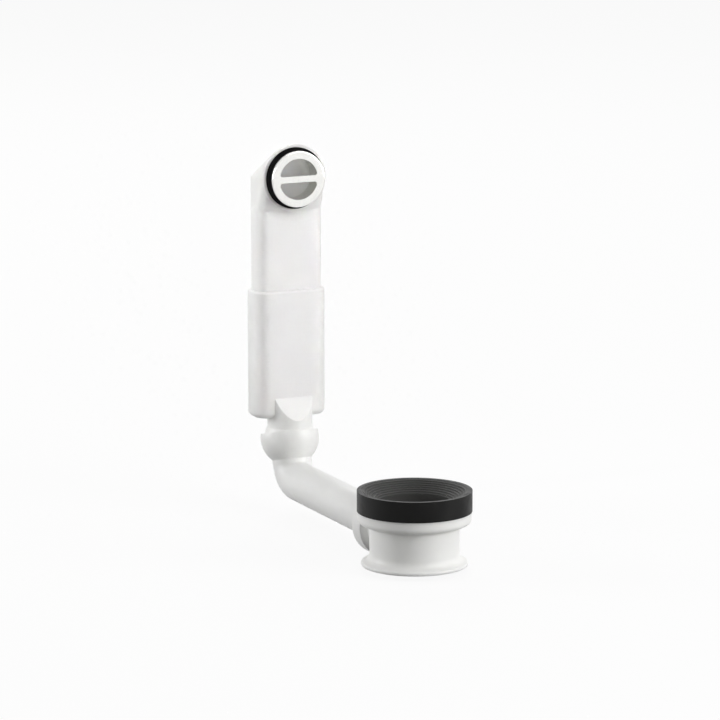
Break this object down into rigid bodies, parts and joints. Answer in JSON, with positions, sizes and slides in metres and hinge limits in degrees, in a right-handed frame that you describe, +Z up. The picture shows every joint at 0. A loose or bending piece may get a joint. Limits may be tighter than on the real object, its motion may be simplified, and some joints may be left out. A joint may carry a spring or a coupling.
{
  "type": "washbasin overflow kit",
  "caption": "Waste ring with ribbed rubber seal, swivel elbow, ball joint and telescopic flat overflow tube ending in a round chrome rosette.",
  "frame": {"origin": "on the axis of the waste bore, at the underside of the waste ring", "axes": "+Z up along the waste axis, +Y from the waste towards the overflow tube, +X to the right seen from the front of the rosette"},
  "size_m": [0.068, 0.2372, 0.2286],
  "materials": {
    "white_plastic": "satin injection-moulded polypropylene",
    "black_rubber": "matt moulded rubber",
    "chrome": "bright plated"
  },
  "bodies": {
    "waste": {"waste_ring": "white_plastic", "waste_seal": "black_rubber", "socket_seal": "black_rubber", "socket_cap": "white_plastic"},
    "elbow": {"elbow": "white_plastic"},
    "ball_ring": {"ball_ring": "black_rubber"},
    "sleeve": {"sleeve": "white_plastic"},
    "overflow_tube": {"overflow_tube": "white_plastic", "slide_seal": "black_rubber"},
    "rosette_gasket": {"rosette_gasket": "black_rubber"},
    "rosette": {"rosette": "chrome"}
  },
  "joints": [
    {"name": "elbow_swivel", "type": "hinge", "parent": "waste", "child": "elbow", "pos_m": [0, 0.038, 0.0155], "axis": [0, 1, 0], "continuous": true},
    {"name": "ball_tilt", "type": "hinge", "parent": "elbow", "child": "ball_ring", "pos_m": [0, 0.185, 0.041], "axis": [-1, 0, 0], "range_deg": [0, 27]},
    {"name": "ball_spin", "type": "hinge", "parent": "ball_ring", "child": "sleeve", "pos_m": [0, 0.185, 0.041], "axis": [0, 0, 1], "continuous": true},
    {"name": "tube_slide", "type": "slide", "parent": "sleeve", "child": "overflow_tube", "axis": [0, 0, 1], "range_m": [-0.044, 0.014]},
    {"name": "rosette_turn", "type": "hinge", "parent": "overflow_tube", "child": "rosette_gasket", "pos_m": [0, 0.1763, 0.2046], "axis": [0, -1, 0], "range_deg": [0, 675]},
    {"name": "rosette_travel", "type": "slide", "parent": "rosette_gasket", "child": "rosette", "axis": [0, -1, 0], "range_m": [0, 0.00376]}
  ],
  "couplings": [
    {"joint": "rosette_travel", "follows": "rosette_turn", "m_per_rad": 0.00031831}
  ]
}
